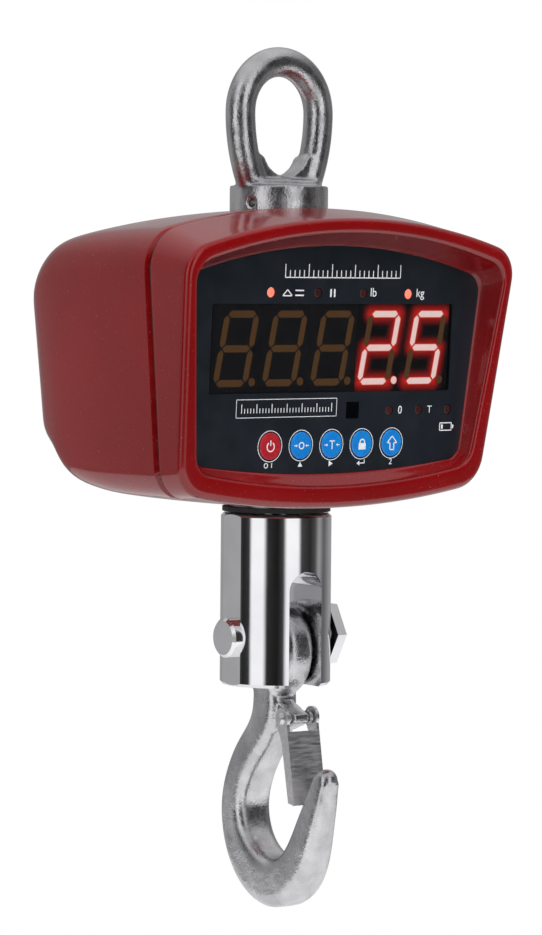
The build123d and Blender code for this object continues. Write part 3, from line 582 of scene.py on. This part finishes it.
def build_rear_shell():
    """Rear shell: a smooth tub, hollowed out and cut for everything that passes through it."""
    rings = [ring(outline, depth) for depth, outline in REAR_STATIONS]
    depth, outline = REAR_STATIONS[-1]
    rings += [ring(inset(outline, by), depth + 0.1) for by in (3.0, 8.0)]
    outer = scratch(loft("rear_outer", rings))
    smooth = outer.modifiers.new("round", "SUBSURF")
    smooth.levels = 1
    mesh = baked(outer)
    bpy.data.objects.remove(outer)
    hollow = [ring(inset(REAR_STATIONS[0][1], WALL), -36.0)]
    for depth, outline in REAR_STATIONS[2:]:
        hollow.append(ring(inset(outline, WALL), depth - (0 if depth < 0 else WALL)))
    wells = [cylinder((x, -5, z), (x, 110, z), WELL_R, 40) for x, z in SHELL_SCREWS]
    mesh = cut(mesh, wells, "FAST")
    cutters = [loft("hollow", hollow), cylinder((0, 0, -75), (0, 0, -40), 25.2)]
    cutters.append(cylinder((0, 0, -210), (0, 0, -180), 23.3))
    cutters.append(block((-81.2, 77.9, -150.2), (-30.8, 90, -91.8)))
    cutters.append(block((-78, 70, -138), (-34, 90, -104)))
    mesh = cut(mesh, cutters)
    case = new_piece("rear_case", mesh, "housing", FINISHES["red_shell"], 38.0)
    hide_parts("rear_shell")


def build_forging(node, name, body, voxel, rounds):
    """A CAD forging with its edges and joins blended the way a die leaves them."""
    mesh = NODES[node].data.copy()
    work = bmesh.new()
    work.from_mesh(mesh)
    bmesh.ops.remove_doubles(work, verts=work.verts, dist=1e-6)
    work.to_mesh(mesh)
    work.free()
    piece = scratch(mesh)
    remesh = piece.modifiers.new("voxels", "REMESH")
    remesh.mode = "VOXEL"
    remesh.voxel_size = voxel * MM
    relax = piece.modifiers.new("relax", "SMOOTH")
    relax.factor = 0.5
    relax.iterations = rounds
    mesh = baked(piece)
    bpy.data.objects.remove(piece)
    forging = new_piece(name, mesh, body, FINISHES["plated_forging"], 60.0)
    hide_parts(node)


# ---- flat work on the panel ------------------------------------------------------
def on_panel(u, v, w):
    """A place on the panel in millimetres: across, up and out of its face."""
    up = Vector((0, -sin(PANEL_TILT), cos(PANEL_TILT)))
    out = Vector((0, -cos(PANEL_TILT), -sin(PANEL_TILT)))
    return PANEL_ORIGIN + Vector((u, 0, 0)) + up * v + out * w


def bar(x0, y0, x1, y1, width):
    """A straight stroke as a polygon."""
    length = hypot(x1 - x0, y1 - y0)
    nx = -(y1 - y0) / length * width / 2
    ny = (x1 - x0) / length * width / 2
    return [[(x0 + nx, y0 + ny), (x0 - nx, y0 - ny), (x1 - nx, y1 - ny), (x1 + nx, y1 + ny)]]


def stroke(points, width):
    """A run of straight strokes."""
    return [shape for a, b in zip(points, points[1:]) for shape in bar(*a, *b, width)]


def arc(x, y, radius, width, start, end, steps=20):
    """A curved stroke as short polygons; the angles are in degrees."""
    shapes = []
    for step in range(steps):
        a = radians(start + (end - start) * step / steps)
        b = radians(start + (end - start) * (step + 1) / steps)
        inner = radius - width / 2
        outer = radius + width / 2
        corners = ((inner, a), (outer, a), (outer, b), (inner, b))
        shapes.append([(x + r * cos(t), y + r * sin(t)) for r, t in corners])
    return shapes


def moved(shapes, u, v, size=1.0):
    """Shapes shifted to a place and scaled."""
    return [[(u + size * x, v + size * y) for x, y in shape] for shape in shapes]


def arrow(x, y, direction, size=1.0):
    """A small arrow that points left (-1) or right (1)."""
    tip = x + direction * 1.1 * size
    neck = x + direction * 0.2 * size
    tail = x - direction * 1.1 * size
    return bar(tail, y, neck, y, 0.45 * size) + [[(neck, y - 0.75 * size), (tip, y), (neck, y + 0.75 * size)]]


def prisms(name, shapes, low, high):
    """Raise flat shapes off the panel as one mesh."""
    points = []
    faces = []
    for shape in shapes:
        first = len(points)
        count = len(shape)
        points += [on_panel(u, v, w) for w in (low, high) for u, v in shape]
        faces.append(tuple(range(first, first + count)))
        faces.append(tuple(range(first + count, first + 2 * count)))
        for i in range(count):
            j = (i + 1) % count
            faces.append((first + i, first + j, first + count + j, first + count + i))
    return mesh_of(name, points, faces)


def letters(text, u, v, size):
    """Flat outlines of a unit mark, from the built-in font."""
    curve = bpy.data.curves.new("letters", "FONT")
    curve.body = text
    curve.size = size
    curve.align_x = "CENTER"
    curve.align_y = "CENTER"
    holder = bpy.data.objects.new("letters", curve)
    bpy.context.scene.collection.objects.link(holder)
    graph = bpy.context.evaluated_depsgraph_get()
    mesh = bpy.data.meshes.new_from_object(holder.evaluated_get(graph))
    shapes = [[tuple(mesh.vertices[i].co[:2]) for i in face.vertices] for face in mesh.polygons]
    bpy.data.objects.remove(holder)
    return moved(shapes, u, v)


def build_print():
    """Generic marks where a maker would print: scales, unit marks and small signs."""
    shapes = bar(-33.5, 35.0, 42.0, 35.0, 0.5)
    for tick in range(26):
        u = -33.3 + tick * 3.016
        tall = 6.6 if tick % 5 == 0 else 3.6
        shapes += bar(u, 35.0, u, 35.0 + tall, 0.55)
    shapes += letters("lb", 24.6, 27.6, 6.2) + letters("kg", 56.0, 27.4, 6.2)
    shapes += stroke([(-34.5, 26.0), (-31.5, 29.0), (-28.5, 26.0), (-34.5, 26.0)], 0.55)
    shapes += stroke([(-26.5, 26.2), (-21.0, 26.2)], 0.7) + stroke([(-26.5, 28.6), (-21.0, 28.6)], 0.7)
    shapes += bar(-3.4, 25.4, -3.4, 29.4, 1.0) + bar(-1.0, 25.4, -1.0, 29.4, 1.0)
    shapes += letters("0", 46.0, -31.6, 5.6) + letters("T", 66.0, -31.6, 5.2)
    shapes += stroke([(73.6, -42.4), (81.6, -42.4), (81.6, -38.6), (73.6, -38.6), (73.6, -42.4)], 0.5)
    shapes += bar(82.6, -41.4, 82.6, -39.6, 0.9) + bar(75.2, -41.6, 75.2, -39.4, 1.2)
    places = [KEY_ROW[0] + (index - 2) * KEY_PITCH for index in range(5)]
    shapes += arc(places[0] - 2.0, -57.6, 1.1, 0.45, 0, 360)
    shapes += bar(places[0] + 1.6, -58.8, places[0] + 1.6, -56.4, 0.5)
    shapes += [[(places[1] - 1.5, -58.6), (places[1] + 1.5, -58.6), (places[1], -56.2)]]
    shapes += [[(places[2] - 1.2, -59.0), (places[2] + 1.4, -57.5), (places[2] - 1.2, -56.0)]]
    shapes += stroke([(places[3] + 2.4, -56.0), (places[3] + 2.4, -57.8), (places[3] - 1.0, -57.8)], 0.5)
    shapes += [[(places[3] - 0.8, -59.0), (places[3] - 0.8, -56.6), (places[3] - 2.6, -57.8)]]
    shapes += letters("2", places[4], -57.5, 4.6)
    for u in places:
        shapes += arc(u, KEY_ROW[1], KEY_R + 0.85, 0.35, 0, 360, 48)
    mesh = prisms("panel_print", shapes, OVERLAY_TOP, OVERLAY_TOP + 0.03)
    new_piece("panel_print", mesh, "housing", WHITE_INK)


def build_label_strip():
    """A blank capacity strip with a light edge and a row of fine divisions."""
    shapes = stroke([(-60.9, -33.8), (3.6, -33.8), (3.6, -24.9), (-60.9, -24.9), (-60.9, -33.8)], 0.3)
    for tick in range(31):
        u = -57.5 + tick * 1.93
        shapes += bar(u, -31.6, u, -27.2 if tick % 5 == 0 else -29.3, 0.42)
    mesh = prisms("division_strip", shapes, OVERLAY_TOP, OVERLAY_TOP + 0.04)
    new_piece("division_strip", mesh, "housing", WHITE_INK)


def build_key_signs():
    """White signs on the keys; each one moves with its key."""
    lock = [[(-2.3, -2.8), (2.3, -2.8), (2.3, 0.4), (-2.3, 0.4)]] + arc(0, 0.8, 1.5, 0.7, 0, 180)
    lock += bar(-1.5, 0.3, -1.5, 0.9, 0.7) + bar(1.5, 0.3, 1.5, 0.9, 0.7)
    rising = stroke([(-1.3, -3.3), (-1.3, 0.2), (-3.2, 0.2), (0, 3.6), (3.2, 0.2), (1.3, 0.2), (1.3, -3.3),
                     (-1.3, -3.3)], 0.6)
    tare = bar(-1.7, 1.9, 1.7, 1.9, 0.6) + bar(0, 2.0, 0, -2.2, 0.6)
    signs = {
        "key_power": arc(0, -0.2, 2.3, 0.6, 125, 415) + bar(0, 0.2, 0, 3.0, 0.6),
        "key_zero": arrow(-3.6, 0, 1) + arc(0, 0, 1.55, 0.6, 0, 360) + arrow(3.6, 0, -1),
        "key_tare": arrow(-3.8, 0, 1) + tare + arrow(3.8, 0, -1),
        "key_hold": lock,
        "key_up": rising,
    }
    for index, (key, shapes) in enumerate(signs.items()):
        placed = moved(shapes, KEY_ROW[0] + (index - 2) * KEY_PITCH, KEY_ROW[1])
        mesh = prisms("sign_" + key, placed, KEY_TOP, KEY_TOP + 0.04)
        new_piece("sign_" + key, mesh, key + "_body", WHITE_INK)


# ---- seven-segment digits ----------------------------------------------------------
SEGMENT_HALF = 9.2
SEGMENT_RISE = 16.9
SEGMENT_WIDTH = 3.5
SEGMENT_ENDS = {
    "a": ((-1, 1), (1, 1)),
    "b": ((1, 1), (1, 0)),
    "c": ((1, 0), (1, -1)),
    "d": ((1, -1), (-1, -1)),
    "e": ((-1, -1), (-1, 0)),
    "f": ((-1, 0), (-1, 1)),
    "g": ((-1, 0), (1, 0)),
}
LIT = {3: "abged", 4: "afgcd"}
SLANT = tan(radians(10.0))
POINT_PLACE = (13.6, -16.4)


def segment_shape(name, gap=0.55, width=SEGMENT_WIDTH):
    """A pointed bar between two corners of the digit, before slanting."""
    (x0, y0), (x1, y1) = SEGMENT_ENDS[name]
    a = Vector((x0 * SEGMENT_HALF, y0 * SEGMENT_RISE))
    b = Vector((x1 * SEGMENT_HALF, y1 * SEGMENT_RISE))
    along = (b - a).normalized()
    beside = Vector((-along.y, along.x)) * width / 2
    a += along * gap
    b -= along * gap
    shoulder = along * width / 2
    left = (a, a + shoulder + beside, b - shoulder + beside)
    right = (b, b - shoulder - beside, a + shoulder - beside)
    return [tuple(point) for point in left + right]


def placed_segment(shape, index):
    """The slanted shape at its digit."""
    return [((index - 2) * DIGIT_PITCH + x + y * SLANT, y) for x, y in shape]


def lit_mesh(name, outlines, low, high):
    """Prisms whose top carries a warmth value: 0 at the edge, 1 in the middle."""
    points = []
    heat = []
    faces = []
    for outline, core in outlines:
        first = len(points)
        count = len(outline)
        for w, shape, value in ((low, outline, 0.0), (high, outline, 0.0), (high + 0.01, core, 1.0)):
            points += [tuple(on_panel(u, v, w)) for u, v in shape]
            heat += [value] * count
        for low_ring in (first, first + count):
            high_ring = low_ring + count
            for i in range(count):
                j = (i + 1) % count
                faces.append((low_ring + i, low_ring + j, high_ring + j, high_ring + i))
        faces.append(tuple(range(first, first + count)))
        faces.append(tuple(range(first + 2 * count, first + 3 * count)))
    mesh = mesh_of(name, points, faces)
    mesh.attributes.new("warmth", "FLOAT", "POINT").data.foreach_set("value", heat)
    return mesh


def dot(u, v, radius, sides=20):
    """A round outline."""
    angles = [2 * pi * i / sides for i in range(sides)]
    return [(u + radius * cos(angle), v + radius * sin(angle)) for angle in angles]


def build_digits():
    """Lit and unlit segments behind the smoked window, with points after each digit; the unlit ones carry a
    faint painted amber glow.
    """
    groups = {True: [], False: []}
    for index in range(5):
        for name in SEGMENT_ENDS:
            outline = placed_segment(segment_shape(name), index)
            core = placed_segment(segment_shape(name, 1.15, SEGMENT_WIDTH * 0.5), index)
            groups[name in LIT.get(index, "")].append((outline, core))
        u = (index - 2) * DIGIT_PITCH + POINT_PLACE[0] + POINT_PLACE[1] * SLANT
        groups[index == 3].append((dot(u, POINT_PLACE[1], 2.1), dot(u, POINT_PLACE[1], 1.1)))
    for lit, material in ((True, SEGMENT_LIT), (False, SEGMENT_UNLIT_GLOW)):
        name = "segments_lit" if lit else "segments_unlit_painted_glow"
        mesh = lit_mesh(name, groups[lit], -0.57, -0.47)
        new_piece(name, mesh, "housing", material)


def distance_to_stroke(point, start, end):
    """Distance from a point to a straight line between two places."""
    span = end - start
    t = max(0.0, min(1.0, (point - start).dot(span) / span.length_squared))
    return (point - start - span * t).length


def build_halo():
    """Painted soft red glow on the module faces around the lit segments, standing in for their spilt light.
    """
    strokes = []
    for index, names in LIT.items():
        for name in names:
            ends = [(x * SEGMENT_HALF, y * SEGMENT_RISE) for x, y in SEGMENT_ENDS[name]]
            strokes.append([Vector(place) for place in placed_segment(ends, index)])
    low_u = 15.6
    low_v = -22.4
    step = 0.8
    columns = 77
    rows = 56
    reach = 6.5
    strength = 0.62
    points = []
    heat = []
    for row in range(rows + 1):
        for column in range(columns + 1):
            u = low_u + column * step
            v = low_v + row * step
            near = min(distance_to_stroke(Vector((u, v)), *ends) for ends in strokes)
            points.append(on_panel(u, v, -0.585))
            heat.append(strength * max(0.0, 1 - near / reach) ** 1.7)
    width = columns + 1
    faces = [(r * width + c, r * width + c + 1, (r + 1) * width + c + 1, (r + 1) * width + c)
             for r in range(rows) for c in range(columns)]
    mesh = mesh_of("digit_halo", points, faces)
    mesh.attributes.new("warmth", "FLOAT", "POINT").data.foreach_set("value", heat)
    new_piece("digit_halo", mesh, "housing", HALO)


# ---- latch spring --------------------------------------------------------------------
def swivelled(x, y, z):
    """A place on the hook side, turned with the swivel, in millimetres."""
    return (x * cos(SWIVEL_TURN) - y * sin(SWIVEL_TURN), x * sin(SWIVEL_TURN) + y * cos(SWIVEL_TURN), z)


def build_spring():
    """Torsion spring: a coil each side of the lug, inside the ears of the latch."""
    y0, z0 = LATCH_PLACE
    curve = bpy.data.curves.new("torsion_spring", "CURVE")
    curve.dimensions = "3D"
    curve.bevel_depth = 0.55 * MM
    curve.bevel_resolution = 3
    turns = 2.25
    steps = 54
    for side in (-1, 1):
        points = []
        for step in range(steps + 1):
            t = step / steps
            angle = 2 * pi * turns * t - pi / 2
            points.append((side * (5.6 + 1.9 * t), y0 + 2.95 * cos(angle), z0 + 2.95 * sin(angle)))
        spline = curve.splines.new("POLY")
        spline.points.add(len(points) - 1)
        for place, point in zip(spline.points, points):
            place.co = (*[c * MM for c in swivelled(*point)], 1.0)
    curve.use_fill_caps = True
    holder = bpy.data.objects.new("holder", curve)
    bpy.context.scene.collection.objects.link(holder)
    graph = bpy.context.evaluated_depsgraph_get()
    mesh = bpy.data.meshes.new_from_object(holder.evaluated_get(graph))
    bpy.data.objects.remove(holder)
    spring = new_piece("torsion_spring", mesh, "hook_body", FINISHES["spring_steel"], 60.0)
    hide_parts("latch_spring")


# ---- studio ------------------------------------------------------------------------------
def build_world():
    """White backdrop for the camera; soft boxes and dark sides for what reflects."""
    world = bpy.data.worlds.new("studio")
    bpy.context.scene.world = world
    world.use_nodes = True
    tree = world.node_tree
    tree.nodes.clear()

    def node(kind):
        return tree.nodes.new(kind)

    place = node("ShaderNodeTexCoord")
    split = node("ShaderNodeSeparateXYZ")
    tree.links.new(place.outputs["Generated"], split.inputs["Vector"])
    flip = node("ShaderNodeMath")
    flip.operation = "MULTIPLY"
    flip.inputs[1].default_value = -1.0
    tree.links.new(split.outputs["Y"], flip.inputs[0])
    heading = node("ShaderNodeMath")
    heading.operation = "ARCTAN2"
    tree.links.new(split.outputs["X"], heading.inputs[0])
    tree.links.new(flip.outputs[0], heading.inputs[1])
    share = node("ShaderNodeMapRange")
    share.inputs["From Min"].default_value = -pi
    share.inputs["From Max"].default_value = pi
    tree.links.new(heading.outputs[0], share.inputs["Value"])
    around = node("ShaderNodeValToRGB")
    stops = ((-180, 0.32), (-150, 0.42), (-128, 0.22), (-112, 0.015), (-97, 0.04), (-91, 1.1), (-66, 1.1),
             (-58, 0.03), (-36, 0.01), (-24, 0.05), (-17, 1.1), (7, 1.1), (14, 0.06), (36, 0.025), (50, 0.08),
             (62, 0.36), (78, 0.12), (104, 0.32), (140, 0.4), (180, 0.32))
    elements = around.color_ramp.elements
    while len(elements) < len(stops):
        elements.new(0.5)
    for element, (angle, value) in zip(elements, stops):
        element.position = (angle + 180) / 360
        element.color = (value, value, value * 1.02, 1.0)
    tree.links.new(share.outputs["Result"], around.inputs["Fac"])
    above = node("ShaderNodeMapRange")
    above.inputs["From Min"].default_value = 0.42
    above.inputs["From Max"].default_value = 0.75
    tree.links.new(split.outputs["Z"], above.inputs["Value"])
    lift = node("ShaderNodeMix")
    lift.data_type = "RGBA"
    lift.inputs[7].default_value = (0.72, 0.72, 0.73, 1.0)
    tree.links.new(above.outputs["Result"], lift.inputs[0])
    tree.links.new(around.outputs["Color"], lift.inputs[6])
    studio = node("ShaderNodeBackground")
    below = node("ShaderNodeMapRange")
    below.inputs["From Min"].default_value = -0.2
    below.inputs["From Max"].default_value = -0.5
    tree.links.new(split.outputs["Z"], below.inputs["Value"])
    sink = node("ShaderNodeMix")
    sink.data_type = "RGBA"
    sink.inputs[7].default_value = (0.22, 0.22, 0.22, 1.0)
    tree.links.new(below.outputs["Result"], sink.inputs[0])
    tree.links.new(lift.outputs[2], sink.inputs[6])
    tree.links.new(sink.outputs[2], studio.inputs["Color"])
    backdrop = node("ShaderNodeBackground")
    backdrop.inputs["Color"].default_value = (1.0, 1.0, 1.0, 1.0)
    path = node("ShaderNodeLightPath")
    choice = node("ShaderNodeMixShader")
    tree.links.new(path.outputs["Is Camera Ray"], choice.inputs["Fac"])
    tree.links.new(studio.outputs["Background"], choice.inputs[1])
    tree.links.new(backdrop.outputs["Background"], choice.inputs[2])
    output = node("ShaderNodeOutputWorld")
    tree.links.new(choice.outputs["Shader"], output.inputs["Surface"])


def build_floor():
    """A plain pale disc well below the hanging hook."""
    finish = Finish("pale_floor", (0.86, 0.86, 0.86), 0.7)
    finish.colour(finish.ramp(finish.noise(3), (0.3, 0.84), (0.7, 0.88)))
    finish.set("Emission Color", (1.0, 1.0, 1.0, 1.0))
    finish.set("Emission Strength", 0.12)
    level = CAD_BOX[0].z / MM - 190
    points = [(1000 * cos(2 * pi * i / 96), 1000 * sin(2 * pi * i / 96), level) for i in range(96)]
    mesh = mesh_of("floor", points, [tuple(range(96))])
    mesh.materials.append(finish.material)
    floor = bpy.data.objects.new("floor", mesh)
    bpy.context.scene.collection.objects.link(floor)


def add_softbox(name, azimuth, elevation, distance, size, power):
    """A soft light that is not itself seen in reflections."""
    light = bpy.data.lights.new(name, "AREA")
    light.shape = "SQUARE"
    light.size = size
    light.energy = power
    lamp = bpy.data.objects.new(name, light)
    bpy.context.scene.collection.objects.link(lamp)
    a = radians(azimuth)
    e = radians(elevation)
    back = Vector((sin(a) * cos(e), -cos(a) * cos(e), sin(e)))
    lamp.location = Vector((0, 0, -0.15)) + back * distance
    lamp.rotation_mode = "QUATERNION"
    lamp.rotation_quaternion = (-back).to_track_quat("-Z", "Y")
    lamp.visible_glossy = False


def build_camera():
    """The photograph's viewpoint: low, from the front left, a long lens."""
    azimuth = radians(-39.9)
    elevation = radians(2.86)
    roll = radians(0.469)
    back = Vector((sin(azimuth) * cos(elevation), -cos(azimuth) * cos(elevation), sin(elevation)))
    right = (-back).cross(Vector((0, 0, 1))).normalized()
    up = right.cross(-back)
    target = right * -0.00285 + Vector((0, 0, -0.1787))
    across = cos(roll) * right + sin(roll) * up
    upward = cos(roll) * up - sin(roll) * right
    data = bpy.data.cameras.new("view")
    data.lens = 149.6
    data.sensor_width = 36.0
    data.clip_start = 0.1
    data.clip_end = 100.0
    camera = bpy.data.objects.new("view", data)
    bpy.context.scene.collection.objects.link(camera)
    place = target + back * 1.964
    camera.matrix_world = Matrix((
        (across.x, upward.x, back.x, place.x),
        (across.y, upward.y, back.y, place.y),
        (across.z, upward.z, back.z, place.z),
        (0, 0, 0, 1),
    ))
    bpy.context.scene.camera = camera


dress_cad()
build_front_shell()
build_rear_shell()
build_forging("hook", "forged_hook", "hook_body", 0.9, 7)
build_forging("lifting_eye", "forged_eye", "housing", 0.9, 6)
build_print()
build_label_strip()
build_key_signs()
build_digits()
build_halo()
build_spring()
build_world()
build_floor()
add_softbox("key_light", 5, 38, 1.7, 1.0, 21.0)
add_softbox("side_light", -100, 20, 1.8, 1.0, 10.0)
add_softbox("under_light", -20, -45, 1.6, 0.8, 5.0)
build_camera()
bpy.context.scene.view_settings.view_transform = "Standard"
